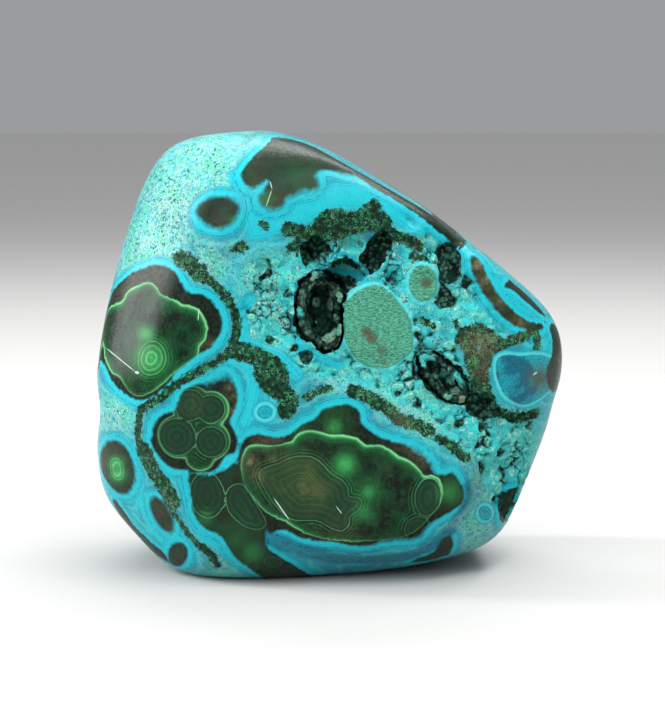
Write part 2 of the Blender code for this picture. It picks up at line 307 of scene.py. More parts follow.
# malachite nodules on the show face: outer rim and inner bright line, in pixels of the photo
nodules = {
    "left": {
        "rim": [
            (88, 300), (104, 298), (128, 275), (148, 266), (163, 264), (176, 272), (188, 290), (207, 296), (220, 311),
            (223, 326), (215, 344), (195, 358), (176, 374), (163, 390), (144, 401), (128, 397), (112, 382), (102, 362),
            (86, 345),
        ],
        "line": [
            (102, 326), (106, 312), (114, 305), (122, 302), (128, 292), (136, 287), (148, 283), (156, 287), (161, 295),
            (174, 300), (182, 305), (192, 307), (199, 311), (204, 319), (207, 328), (205, 339), (199, 346), (198, 354),
            (194, 360), (182, 366), (169, 378), (156, 389), (147, 394), (139, 396), (131, 393), (125, 385), (120, 377),
            (112, 372), (106, 360), (104, 349),
        ],
        "sideBalls": [(104, 322, 11.0), (104, 350, 9.5)],
        "sideHeart": [(104, 322, 8.5), (104, 350, 7.0)],
    },
    "middle": {
        "lineBalls": [
            (192, 406, 4.5), (211, 409, 4.0), (178, 437, 4.9), (211, 441, 4.3), (200, 456, 3.4), (197, 424, 2.6),
        ],
        "rim": [
            (151, 433), (153, 424), (161, 415), (174, 410), (177, 402), (182, 391), (192, 385), (206, 381), (217, 376),
            (224, 370), (233, 377), (237, 388), (238, 402), (236, 412), (231, 422), (238, 437), (236, 452), (226, 458),
            (219, 468), (206, 474), (188, 471), (176, 470), (166, 465), (156, 454), (150, 443),
        ],
    },
    "low": {
        "rim": [
            (189, 471), (206, 475), (222, 470), (236, 462), (244, 474), (258, 506), (268, 524), (266, 534), (268, 546),
            (280, 556), (300, 568), (310, 578), (270, 580), (247, 567), (236, 559), (227, 547), (221, 537), (208, 531),
            (198, 523), (192, 511), (190, 498), (188, 484),
        ],
    },
    "great": {
        "rim": [
            (240, 445), (247, 436), (259, 433), (278, 437), (291, 432), (303, 423), (316, 417), (322, 409), (338, 404),
            (353, 405), (361, 413), (363, 423), (373, 432), (389, 439), (410, 445), (420, 451), (431, 460), (436, 471),
            (444, 474), (453, 472), (461, 482), (465, 495), (460, 506), (445, 516), (431, 525), (424, 536), (413, 541),
            (397, 542), (381, 544), (365, 547), (349, 546), (333, 543), (319, 542), (301, 539), (290, 533), (281, 531),
            (268, 534), (262, 520), (250, 500), (241, 475), (237, 458),
        ],
        "line": [
            (241, 466), (243, 456), (247, 448), (256, 445), (270, 446), (290, 443), (292, 442), (299, 434), (310, 431),
            (321, 433), (331, 436), (334, 436), (345, 436), (357, 439), (365, 446), (367, 446), (381, 446), (392, 452),
            (398, 457), (401, 458), (410, 462), (418, 469), (424, 477), (426, 477), (432, 476), (439, 480), (442, 491),
            (439, 506), (430, 516), (418, 529), (404, 536), (381, 540), (350, 541), (319, 537), (300, 530), (285, 521),
            (268, 513), (257, 502), (246, 488),
        ],
    },
    "top": {
        "rim": [
            (240, 174), (243, 184), (251, 190), (261, 187), (267, 182), (258, 195), (259, 206), (270, 212), (283, 209),
            (289, 200), (302, 195), (315, 192), (321, 184), (318, 175), (328, 171), (344, 176), (356, 178), (367, 184),
            (374, 189), (392, 199), (418, 216), (442, 235), (460, 248), (480, 228), (420, 180), (350, 140), (300, 122),
            (275, 128), (270, 140), (254, 155), (243, 168),
        ],
        "sideBalls": [
            (290, 131, 9.0), (320, 141, 10.0), (350, 156, 10.0), (385, 180, 8.0), (420, 204, 6.0), (450, 228, 5.0),
        ],
    },
    "grey": {"rim": [
        (195, 213), (199, 203), (210, 196), (224, 195), (238, 199), (241, 210), (236, 222), (224, 230), (210, 229),
        (199, 222),
    ]},
    "leftOval": {"rim": ovalOutline(118, 467, 17, 29, -18)},
    "cornerOval": {"rim": ovalOutline(162, 515, 10, 22, -29)},
    "cornerSmall": {"rim": ovalOutline(178, 554, 11, 13, 0), "sideBalls": [(176, 562, 3.0)]},
    "cornerStrip": {"rim": [
        (114, 498), (122, 508), (137, 528), (153, 543), (165, 554), (170, 566), (160, 572), (130, 545), (108, 512),
    ], "sideBalls": [(128, 532, 4.0), (146, 550, 4.0)]},
    "rightLow": {"rim": [
        (404, 572), (412, 560), (432, 552), (440, 540), (450, 535), (454, 542), (450, 554), (436, 564), (412, 576),
    ], "sideBalls": [(430, 566, 4.0)]},
    "rightEdge": {"rim": [
        (499, 508), (504, 494), (518, 488), (528, 494), (516, 516), (502, 524),
    ], "sideBalls": [(520, 500, 3.5)]},
    "rightEnd": {"rim": [
        (549, 326), (552, 340), (551, 356), (547, 366), (546, 378), (550, 390), (556, 392), (572, 380), (572, 330),
        (560, 322),
    ], "sideBalls": [(558, 345, 6.0), (556, 372, 6.0)]},
    # painted reflection: the brown-grey streak of light along the right bevel, drawn as a plain dark band
    "rightReflectionStreak": {"rim": [
        (470, 256), (476, 256), (484, 266), (490, 279), (497, 291), (506, 302), (518, 314), (531, 321), (542, 324),
        (543, 330), (530, 331), (515, 326), (501, 316), (489, 302), (479, 288), (472, 272),
    ]},
    "shoulder": {"rim": [
        (504, 286), (513, 291), (523, 300), (535, 310), (546, 318), (556, 324), (562, 318), (545, 290), (520, 272),
    ], "sideBalls": [(522, 283, 3.5), (545, 303, 3.5)]},
}

# ringed eyes inside them: outlines, or a circle with its radius in millimetres
eyeOutlines = {
    "olive": [
        (259, 474), (262, 469), (270, 466), (279, 463), (287, 459), (299, 456), (311, 457), (319, 461), (326, 468),
        (332, 474), (342, 480), (348, 488), (349, 496), (359, 498), (362, 503), (358, 511), (350, 516), (349, 525),
        (342, 531), (332, 529), (324, 524), (316, 521), (305, 521), (294, 520), (286, 516), (276, 506), (270, 498),
        (264, 488), (260, 480),
    ],
    "rightRing": ovalOutline(428, 497, 13, 19, 8),
    "rightLowRing": ovalOutline(417, 528, 13, 11, -30),
    "lowRing": ovalOutline(207, 495, 17, 23, -8),
    "lowRingTwo": [
        (229, 488), (236, 484), (243, 485), (249, 492), (254, 500), (260, 510), (265, 519), (266, 525), (261, 529),
        (253, 529), (244, 526), (236, 520), (229, 512), (226, 503), (226, 495),
    ],
    "footRing": ovalOutline(273, 562, 9, 5, 8), "leftOvalEye": ovalOutline(117, 469, 6.5, 11, -12),
}
eyeCircles = [(151, 358, 3.9), (190, 405, 3.5), (211, 409, 3.2), (177, 437, 4.3), (211, 442, 3.5)]

# soft spots, each a photo place, a radius in pixels and a strength: green glows, how brightly the inner line
# shines, and brown stains; the four browns along the right bevel, 478,265 to 520,322, paint a brown-grey reflection
# streak
glows = [
    (151, 359, 15, 0.7), (146, 334, 7, 0.8), (116, 464, 7, 1.0), (118, 474, 7, 1.0), (345, 464, 10, 0.9),
    (368, 492, 6, 0.7), (368, 492, 12, 0.3), (334, 427, 8, 0.55), (334, 420, 18, 0.12), (364, 512, 9, 0.35),
    (450, 492, 11, 0.45), (252, 553, 10, 0.35), (235, 540, 18, 0.12), (235, 222, 6, 0.4), (300, 180, 18, 0.1),
    (335, 232, 8, 0.7), (205, 518, 7, 0.25), (265, 198, 8, 0.3), (263, 381, 7, 0.5), (270, 363, 6, 0.4),
    (300, 428, 10, 0.15),
]
litLines = [
    (120, 300, 40, 0.9), (190, 320, 34, 1.0), (105, 350, 30, 0.8), (345, 436, 42, 1.0), (400, 455, 34, 1.0),
    (434, 480, 18, 0.95), (300, 436, 22, 0.7), (255, 448, 18, 0.6), (345, 528, 22, 0.5), (225, 410, 26, 0.45),
    (190, 440, 30, 0.3), (218, 500, 40, 0.55), (290, 520, 26, 0.45), (150, 359, 24, 1.0), (118, 470, 16, 0.8),
]
browns = [
    (262, 441, 9, 0.8), (276, 441, 8, 0.6), (250, 462, 9, 1.0), (258, 476, 8, 0.9), (272, 458, 8, 0.7),
    (286, 452, 7, 0.5), (229, 388, 5, 1.0), (233, 397, 5, 0.9), (235, 411, 6, 1.0), (208, 345, 7, 0.7),
    (120, 288, 16, 0.25), (160, 274, 12, 0.2), (300, 480, 22, 0.9), (312, 490, 18, 0.8), (290, 470, 16, 0.7),
    (422, 458, 9, 0.9), (412, 449, 8, 0.8), (398, 444, 7, 0.5), (112, 452, 12, 0.3), (160, 510, 12, 0.4),
    (170, 528, 8, 0.35), (178, 554, 9, 0.25), (218, 222, 9, 0.3), (275, 204, 12, 0.6), (322, 184, 9, 0.5),
    (540, 378, 12, 0.9), (553, 352, 10, 0.25), (386, 470, 6, 0.3), (255, 176, 12, 0.3), (480, 345, 16, 0.8),
    (478, 265, 12, 1.0), (486, 280, 12, 1.0), (500, 300, 12, 0.9), (520, 322, 12, 0.9), (484, 370, 12, 0.5),
    (367, 332, 6, 1.0), (372, 338, 6, 1.0), (381, 350, 6, 0.6), (384, 362, 5, 0.5), (426, 283, 6, 0.9),
    (340, 545, 30, 0.3), (400, 425, 14, 0.5), (257, 246, 4, 0.9), (455, 262, 12, 0.6), (192, 405, 10, 0.3),
    (412, 250, 8, 0.6),
]
# where a nodule's edge runs out softly into the cyan
softEdges = [
    (222, 376, 10, 1.0), (212, 388, 9, 0.6), (418, 448, 10, 0.7), (432, 462, 9, 0.9), (166, 300, 20, 0.2),
    (404, 540, 30, 0.5), (300, 196, 26, 0.5), (268, 204, 22, 0.5), (350, 182, 20, 0.4), (218, 212, 30, 0.45),
    (118, 467, 34, 0.3), (162, 515, 26, 0.4),
]
# white crumbs and dark pits crowd here in the rough ground
crumbs = [
    (264, 292, 26, 1.0), (286, 318, 22, 1.0), (276, 344, 16, 0.7), (304, 352, 12, 0.7), (395, 374, 24, 0.7),
    (440, 262, 14, 0.8), (455, 240, 12, 0.7), (412, 264, 16, 0.7), (500, 424, 24, 0.8), (470, 440, 18, 0.5),
    (506, 462, 20, 0.5), (432, 345, 10, 0.8), (306, 262, 14, 0.8), (345, 372, 12, 0.5), (404, 300, 8, 0.7),
]
# pits that stay shallow
shallows = [(350, 245, 9, 0.9), (466, 308, 10, 1.0), (486, 308, 10, 1.0)]

# granular green seams and patches: path and half width in millimetres
seams = {
    "leftSeam": ([
        (176, 257), (190, 268), (207, 279), (223, 293), (233, 309), (237, 325), (234, 341), (226, 355), (199, 371),
        (176, 385), (157, 400), (142, 409), (139, 422), (139, 447), (146, 465), (156, 481), (166, 499), (180, 522),
        (190, 536), (202, 549),
    ], 1.1),
    "seamHead": ([(180, 258), (190, 264), (200, 274)], 2.0),
    "seamBulge": ([(145, 452), (155, 474), (166, 488), (172, 499)], 2.5),
    "mossTop": ([(240, 352), (258, 357), (274, 366), (280, 376)], 2.2),
    "mossMiddle": ([(262, 372), (270, 384), (283, 393), (289, 402), (286, 410)], 2.3),
    "greatRimSeam": ([(307, 397), (320, 391), (330, 389)], 0.9),
    "upperRimSeam": ([(352, 391), (362, 394), (374, 401), (389, 409), (398, 418), (413, 424), (430, 431)], 1.5),
    "rimSeamEnd": ([(440, 438), (452, 446), (466, 458)], 1.2),
    "bandHigh": ([(288, 229), (300, 232), (312, 233), (322, 222), (334, 215), (350, 219), (362, 217), (374, 206)], 1.7),
    "bandMiddle": ([(318, 234), (332, 232), (350, 226), (370, 222), (382, 222)], 2.3),
    "bandLow": ([(378, 224), (392, 234), (407, 240), (420, 246)], 1.5),
    "bridgeMoss": ([(333, 267), (345, 265), (356, 268)], 0.9),
    "spotOne": ([(262, 224), (266, 227)], 0.9),
    "spotTwo": ([(236, 248), (243, 247)], 1.3),
    "spotThree": ([(292, 247), (297, 246)], 1.3),
    "spotFour": ([(422, 320), (433, 326)], 0.8),
    "spotFive": ([(456, 322), (457, 325)], 0.6),
    "spotSix": ([(413, 256), (422, 258)], 1.0),
    "rightPatchHigh": ([(466, 338), (478, 335), (492, 344), (492, 356)], 2.6),
    "rightPatchLow": ([(482, 356), (482, 378), (488, 398), (500, 412), (520, 419), (536, 414)], 1.6),
    "rightPatchEdge": ([(470, 350), (475, 372), (478, 396), (488, 408)], 1.7),
    "rightFoot": ([(503, 343), (520, 338), (536, 332), (536, 352)], 1.2),
    "cornerMoss": ([(205, 548), (212, 556), (216, 564)], 1.2),
}

# clean bright bands of chrysocolla
bands = {
    "arch": ([
        (178, 398), (192, 384), (214, 366), (233, 361), (249, 367), (255, 379), (252, 394), (248, 410), (240, 430),
        (238, 440),
    ], 1.7),
    "leftStrip": ([
        (188, 470), (184, 480), (188, 500), (192, 520), (206, 536), (222, 548), (238, 564), (262, 574),
    ], 1.4),
    "cornerBand": ([(140, 500), (152, 524), (164, 540), (176, 536), (190, 548)], 1.8),
    "ovalRim": ([(104, 446), (116, 436), (130, 444), (140, 470), (140, 490), (126, 500), (108, 492)], 0.9),
    "stoneEdge": ([(250, 298), (240, 312), (243, 330), (240, 342), (262, 349), (280, 358), (296, 374)], 1.4),
    "topFlow": ([(260, 225), (285, 218), (310, 206), (335, 196), (360, 197), (392, 206), (420, 222)], 3.0),
    "topLeftFlow": ([(236, 175), (244, 195), (250, 215), (256, 232)], 1.7),
    "bridge": ([
        (320, 276), (322, 266), (330, 258), (342, 255), (354, 262), (365, 280), (352, 274), (338, 275), (326, 276),
    ], 0.7),
    "rightLine": ([(546, 328), (547, 345), (545, 360), (540, 366)], 0.7),
    "rightSweep": ([(470, 250), (484, 270), (500, 290), (520, 308), (540, 320)], 1.6),
    "hollowRim": ([(300, 283), (297, 303), (296, 330), (303, 348), (322, 358), (338, 366)], 0.9),
    "slotRim": ([(352, 256), (358, 272), (364, 284)], 0.7),
}
# darker bands, drawn in the same way
tealBands = {
    "underGreat": ([
        (270, 538), (290, 547), (330, 557), (370, 560), (410, 555), (440, 541), (460, 516), (472, 494), (470, 484),
    ], 2.1),
    "eyeMiddle": ([(512, 372), (520, 380), (524, 390)], 4.2),
    "rightStrip": ([(458, 350), (456, 368), (460, 380), (466, 398)], 2.0),
    "pool": ([(404, 302), (412, 312), (430, 318), (444, 326)], 2.2),
    "poolHigh": ([(366, 232), (376, 246), (390, 250)], 2.6),
    "poolHollow": ([(300, 250), (312, 248), (330, 246)], 2.2),
    "edgeTeal": ([(505, 425), (520, 440), (512, 470)], 1.6),
}
# ringed blue eyes of chrysocolla
pools = {
    "right": [
        (494, 355), (491, 368), (494, 384), (501, 398), (512, 406), (524, 409), (537, 404), (546, 397), (556, 388),
        (560, 372), (556, 358), (548, 352), (536, 350), (520, 351), (506, 350),
    ],
    "low": ovalOutline(485, 513, 10, 12, 20), "inStrip": ovalOutline(462, 379, 4.5, 8, 0),
    "arch": ovalOutline(265, 412, 13, 12, 0),
}
# cyan ledges that stand in the hollows' mouths
ledges = [(328, 270, 7, 1.0), (335, 266, 9, 1.0), (346, 266, 9, 1.0), (355, 269, 8, 1.0), (361, 278, 6, 1.0)]
# the two round nodules in the rough ground
discs = {
    "large": [
        (369, 286), (358, 291), (349, 299), (342, 304), (345, 311), (343, 322), (345, 337), (349, 348), (355, 357),
        (363, 364), (378, 368), (391, 366), (402, 359), (411, 352), (413, 341), (412, 329), (408, 315), (400, 304),
        (391, 294), (380, 286),
    ],
    "small": ovalOutline(423, 283, 14, 18, 0),
}

# whitish speckled ground, on the upper-left flank partly a painted whitish sheen
pales = [
    (170, 200, 34, 1.0), (155, 240, 36, 1.0), (205, 160, 40, 0.9), (180, 175, 34, 0.9), (205, 262, 26, 0.7),
    (130, 262, 22, 0.7), (265, 280, 26, 0.9), (262, 312, 26, 1.0), (272, 335, 24, 1.0), (290, 300, 20, 0.7),
    (115, 416, 20, 1.0), (410, 398, 24, 0.9), (430, 415, 22, 0.9), (385, 384, 26, 0.7), (452, 228, 30, 0.9),
    (430, 210, 24, 0.7), (440, 262, 20, 0.9), (470, 310, 22, 0.6), (500, 455, 34, 0.8), (480, 440, 22, 0.7),
    (510, 430, 20, 0.8), (500, 490, 28, 0.8), (478, 530, 26, 0.7), (340, 375, 22, 0.7), (225, 575, 24, 0.5),
    (250, 140, 26, 0.4), (400, 350, 20, 0.4), (445, 300, 16, 0.6), (215, 300, 14, 0.4),
]

# the sides and the back, in millimetres: nodules, their eyes, and clean bands
farNodules = [
    (-18, 34, 66, 15.0), (-2, 35, 58, 11.0), (-24, 33, 50, 10.0), (20, 34, 34, 12.0), (28, 33, 44, 9.0),
    (26, 33, 72, 7.5), (-30, 30, 24, 9.0), (-22, 34, 16, 6.0), (4, 34, 16, 6.5), (44, 20, 58, 8.0), (52, 0, 62, 6.0),
    (54, 8, 34, 7.0), (-54, 14, 70, 8.5), (-55, 12, 50, 5.5), (-53, 18, 30, 7.0), (-10, 10, 104, 10.0),
    (-26, 4, 104, 7.0), (6, 18, 100, 7.0), (26, 18, 86, 6.5), (-44, 20, 92, 6.0), (40, 24, 14, 6.0), (-6, 0, 0, 9.0),
    (14, -6, 0, 6.0), (-24, -8, 0, 6.0),
]
farEyes = [
    (-20, 34, 68, 7.0), (-6, 35, 60, 4.6), (-26, 33, 50, 5.0), (20, 34, 33, 6.5), (29, 33, 45, 3.6), (26, 33, 72, 3.4),
    (-30, 30, 24, 4.2), (54, 8, 34, 3.2), (-54, 14, 71, 4.0), (-10, 10, 104, 5.0), (44, 20, 58, 3.6),
    (-53, 18, 30, 3.0),
]


def nodeField(skin, item, part, balls, turnFrom=0.02, turnOver=0.25):
    # the traced outline where the camera sees it, and balls where it goes on round the side
    field = outlineField(skin, item[part])
    if balls in item:
        share = np.clip((skin["facing"] - turnFrom) / turnOver, 0.0, 1.0)
        field = field * share + frontBallField(skin, item[balls]) * (1.0 - share)
    return field


def strokeFields(skin, paths):
    return [strokeField(skin, path, half) for path, half in paths.values()]


def outlineFields(skin, outlines):
    return [outlineField(skin, outline) for outline in outlines.values()]


# how the pattern goes on out of the camera's sight: a pitch and a number of its own for each noise
farPattern = {
    "swell": (5.0, 3.0), "swellHeight": 1.6, "rindWidth": 1.9, "moss": (22.0, 8.0), "mossHalf": 0.045, "mossFade": 2.0,
    "pale": (16.0, 5.0), "paleSteep": 3.0, "paleShift": 0.3, "shine": 0.3, "shineMost": 0.6, "lit": 0.7,
}
edgeSoftness = 3.5


def patternFields(skin):
    points, facing, plan = skin["points"], skin["facing"], farPattern
    back = np.clip(-facing * 4.0, 0.0, 1.0)
    far = ballField(skin, farNodules) + noiseOver(points, *plan["swell"]) * plan["swellHeight"]
    rims, hearts, plain = [far], [far + plan["rindWidth"]], np.zeros(len(far))
    for item in nodules.values():
        rim = nodeField(skin, item, "rim", "sideBalls")
        rims.append(rim)
        if "line" in item:
            hearts.append(nodeField(skin, item, "line", "sideHeart"))
        elif "lineBalls" in item:
            hearts.append(frontBallField(skin, item["lineBalls"]))
        else:
            plain = np.maximum(plain, np.clip(-rim, 0.0, 1.0))
    rind, farEye = nearestOf(skin, rims), ballField(skin, farEyes)
    eyes = [farEye, frontBallField(skin, eyeCircles), *outlineFields(skin, eyeOutlines)]
    farMoss = (np.abs(noiseOver(points, *plan["moss"])) - plan["mossHalf"]) * plan["moss"][0]
    farMoss = farMoss + (1 - back) * plan["mossFade"]
    mosses = [*strokeFields(skin, seams), np.where(facing < 0.05, farMoss, farOff)]
    farPale = np.clip(noiseOver(points, *plan["pale"]) * plan["paleSteep"] + plan["paleShift"], 0.0, 1.0) * back
    farShine = np.clip(-(farEye + 1.0) * plan["shine"], 0.0, plan["shineMost"])
    return {
        "rind": rind, "edge": rind / (1.0 + glowField(skin, softEdges) * edgeSoftness),
        "heart": nearestOf(skin, hearts),
        "eye": nearestOf(skin, eyes), "moss": nearestOf(skin, mosses),
        "clean": nearestOf(skin, strokeFields(skin, bands)), "teal": nearestOf(skin, strokeFields(skin, tealBands)),
        "disc": nearestOf(skin, outlineFields(skin, discs)), "plain": plain,
        "pool": nearestOf(skin, outlineFields(skin, pools)), "pale": np.maximum(glowField(skin, pales), farPale),
        "shine": np.maximum(glowField(skin, glows), farShine),
        "lit": np.maximum(glowField(skin, litLines), back * plan["lit"]),
        "brown": glowField(skin, browns), "crumb": glowField(skin, crumbs),
    }


def storeFields(piece, fields, limit=30.0):
    for name, values in fields.items():
        layer = piece.data.attributes.new(name, "FLOAT", "POINT")
        layer.data.foreach_set("value", np.clip(values, -limit, limit).astype(np.float32))


def smoothed(piece, name, weights, rounds):
    group, count = piece.vertex_groups.new(name=name), stoneSkin["weightLevels"]
    levels = np.round(np.clip(weights, 0.0, 1.0) * count).astype(int)
    for level in range(1, count + 1):
        picked = np.nonzero(levels == level)[0].tolist()
        if picked:
            group.add(picked, level / count, "REPLACE")
    polish = piece.modifiers.new(name, "SMOOTH")
    polish.factor = 0.5
    polish.iterations = rounds
    polish.vertex_group = name
    applyModifiers(piece)
    piece.vertex_groups.clear()


def roughShare(skin, depth):
    plan = stoneSkin
    onFace = np.clip(-outlineField(skin, roughOutline) / plan["edgeWidth"] + 0.2, 0.0, 1.0)
    across, (low, high) = skin["points"][:, 0] / mm, plan["sunkSpan"]
    sunk = np.clip(depth - plan["sunkFrom"], 0.0, 1.0) * (across > low) * (across < high)
    return np.maximum(onFace, sunk * (skin["points"][:, 1] < 0.0))


def cutFiner(piece, rough):
    bm = bmesh.new()
    bm.from_mesh(piece.data)
    edges = [e for e in bm.edges if all(rough[v.index] > stoneSkin["cutFrom"] for v in e.verts)]
    bmesh.ops.subdivide_edges(bm, edges=edges, cuts=1, use_grid_fill=True)
    bmesh.ops.triangulate(bm, faces=[f for f in bm.faces if len(f.verts) > 4])
    bm.to_mesh(piece.data)
    bm.free()


def roughenSkin(piece, skin, rough, disc, depth):
    points, plan = skin["points"], stoneSkin
    picked = np.nonzero(rough > plan["roughFrom"])[0]
    where = warped(points[picked], plan["warpPitch"], plan["warpReach"])
    centre, border = cellsOver(where, plan["floretPitch"])
    grain, _ = cellsOver(where, plan["grainPitch"])
    spacing = np.clip(0.5 - noiseOver(where, plan["gapPatch"], 2.0) * plan["gapSteep"], 0.0, 1.0)
    gap = np.clip(1.0 - border / plan["gapWidth"], 0.0, 1.0) * spacing * plan["gapDepth"]
    pit = np.clip(-noiseOver(where, plan["pitPitch"], 6.0) * plan["pitSteep"] - plan["pitFrom"], 0.0, 1.0)
    pit = pit * plan["pitDepth"]
    ragged = np.clip(noiseOver(where, plan["mouthPitch"], 4.0) + plan["mouthShift"], 0.0, 1.0) * plan["mouthDepth"]
    mouth = np.clip(depth[picked] - plan["mouthFrom"], 0.0, 1.0) * ragged
    solid = rough[picked] * np.clip(disc[picked] / plan["discGuard"], 0.0, 1.0)
    solid = solid * (1.0 - glowField(skin, shallows)[picked])
    deep = (centre * plan["floretDepth"] + grain * plan["grainDepth"] + gap + pit + mouth) * solid
    moved = points.copy()
    moved[picked] -= skin["normals"][picked] * (deep * mm)[:, None]
    piece.data.vertices.foreach_set("co", moved.ravel())
    piece.data.update()
    sink, floret = np.zeros(len(points)), np.ones(len(points))
    sink[picked] = (gap + pit) * solid
    floret[picked] = border
    return sink, floret


def makeStone(view, hull):
    piece = evenSkin("stoneSkin", "stone", stoneSkin["voxel"])
    skin = readSkin(piece, view)
    rough = roughShare(skin, depthBelow(hull, skin["points"]))
    smoothed(piece, "polished", 1.0 - rough, stoneSkin["polishRounds"])
    smoothed(piece, "weathered", rough, stoneSkin["roughRounds"])
    cutFiner(piece, rough)
    skin = readSkin(piece, view)
    depth = depthBelow(hull, skin["points"])
    rough = roughShare(skin, depth)
    fields = patternFields(skin)
    sink, floret = roughenSkin(piece, skin, rough, fields["disc"], depth)
    depth = depth * (1.0 - glowField(skin, shallows) * stoneSkin["shallowShare"])
    depth = depth * (1.0 - np.clip(glowField(skin, ledges) * stoneSkin["ledgeShare"], 0.0, 1.0))
    deep = depth * (rough > stoneSkin["deepFrom"])
    fields.update({"rough": rough, "deep": deep, "sink": sink, "floret": floret})
    storeFields(piece, fields)
    piece.data.shade_smooth()
    print("stone:", len(piece.data.vertices), "vertices")
    return piece, skin


# shader building blocks: each adds its nodes to the tree that is being built
built = {"tree": None}


def newNode(kind):
    return built["tree"].nodes.new(kind)


def plug(value, socket):
    if isinstance(value, bpy.types.NodeSocket):
        built["tree"].links.new(value, socket)
    elif value is not None:
        socket.default_value = colours[value] if isinstance(value, str) else value


def plugAll(step, values):
    for place, value in values.items():
        plug(value, step.inputs[place])


def sums(operation, *values, clamp=False):
    step = newNode("ShaderNodeMath")
    step.operation = operation
    step.use_clamp = clamp
    plugAll(step, dict(enumerate(values)))
    return step.outputs[0]


def product(*values):
    return reduce(lambda made, value: sums("MULTIPLY", made, value), values)


def total(*values):
    return reduce(lambda made, value: sums("ADD", made, value), values)


def scaled(value, by, plus):
    return sums("MULTIPLY_ADD", value, by, plus)


def highest(first, second):
    return sums("MAXIMUM", first, second)


def rest(value):
    return sums("SUBTRACT", 1.0, value)


def ripples(value, often):
    return sums("SINE", product(value, often))


def fade(value, low, high, start=0.0, end=1.0):
    step = newNode("ShaderNodeMapRange")
    step.interpolation_type = "SMOOTHSTEP"
    plugAll(step, {"Value": value, "From Min": low, "From Max": high, "To Min": start, "To Max": end})
    return step.outputs["Result"]


def line(value, half, shift=0.0):
    # one where the shifted value is zero, falling off to nothing at the half width
    return fade(sums("ABSOLUTE", total(value, shift) if shift else value), half, 0.0)


def vectors(operation, first, second=None, scale=None):
    step = newNode("ShaderNodeVectorMath")
    step.operation = operation
    plugAll(step, {0: first, 1: second, 3: scale})
    return step.outputs[1 if operation == "DOT_PRODUCT" else 0]


def blend(amount, under, over):
    step = newNode("ShaderNodeMix")
    step.data_type = "RGBA"
    step.clamp_factor = True
    plugAll(step, {0: amount, 6: under, 7: over})
    return step.outputs[2]


def laid(tint, tone, *shares):
    # the tone laid over the tint, as thick as all the shares together
    return blend(product(*shares), tint, tone)


def grainAt(place, pitch, detail=2.0, roughness=0.5):
    step = newNode("ShaderNodeTexNoise")
    plugAll(step, {"Vector": place, "Scale": 1.0 / pitch, "Detail": detail, "Roughness": roughness})
    return step.outputs["Fac"]


def cellsAt(place, pitch, feature="F1"):
    step = newNode("ShaderNodeTexVoronoi")
    step.feature = feature
    plugAll(step, {"Vector": place, "Scale": 1.0 / pitch})
    return step.outputs["Distance"]


def bentPlace(place, pitch, reach):
    # the place, moved about a little so that what grew there has no straight edge
    wobble = newNode("ShaderNodeTexNoise")
    plugAll(wobble, {"Vector": place, "Scale": 1.0 / pitch})
    centred = vectors("SUBTRACT", wobble.outputs["Color"], (0.5, 0.5, 0.5))
    return vectors("ADD", place, vectors("SCALE", centred, None, reach))


def stored(name):
    step = newNode("ShaderNodeAttribute")
    step.attribute_name = name
    return step.outputs["Fac"]


def placeInMm():
    return vectors("SCALE", newNode("ShaderNodeTexCoord").outputs["Object"], None, 1.0 / mm)


def newMaterial(name):
    made = bpy.data.materials.new(name)
    made.use_nodes = True
    built["tree"] = made.node_tree
    return made, made.node_tree.nodes["Principled BSDF"]


def bumped(shader, height, depth):
    bump = newNode("ShaderNodeBump")
    plugAll(bump, {"Distance": depth, "Height": height})
    plug(bump.outputs[0], shader.inputs["Normal"])


def paint(red, green, blue):
    # a colour given as it looks on screen, from 0 to 255
    made = [((c / 255 + 0.055) / 1.055) ** 2.4 if c > 10 else c / 255 / 12.92 for c in (red, green, blue)]
    return (*made, 1.0)


# colours of the minerals, and of the painted shade and sheen laid over them, as they look on screen
screenTones = {
    "cyan": (22, 158, 172), "cyanBright": (32, 178, 190), "cyanLight": (84, 200, 200), "cyanDeep": (10, 118, 138),
    "cyanDark": (8, 74, 92), "teal": (14, 98, 120), "tealDark": (8, 56, 72), "pale": (100, 198, 172),
    "paleGreen": (76, 172, 136), "white": (188, 222, 208), "pit": (8, 36, 34), "crust": (58, 204, 200),
    "chalkAndSheen": (140, 168, 162), "mossDark": (3, 22, 12), "mossGreen": (8, 60, 36), "mossLeaf": (22, 116, 62),
    "mossGold": (104, 140, 70), "mossMint": (84, 176, 142), "night": (3, 16, 8), "forest": (8, 48, 26),
    "leaf": (26, 94, 50), "bright": (56, 158, 84), "mint": (112, 200, 134), "slate": (20, 46, 32),
    "umber": (20, 34, 21), "brown": (74, 72, 50), "olive": (72, 78, 44), "khaki": (112, 106, 84),
    "disc": (90, 172, 142), "discDark": (42, 108, 86), "stain": (82, 76, 54), "hollowShade": (4, 11, 10),
    "hollowGreen": (14, 50, 42), "druse": (72, 136, 112), "druseMint": (78, 152, 126),
}
colours = {name: paint(*tone) for name, tone in screenTones.items()}


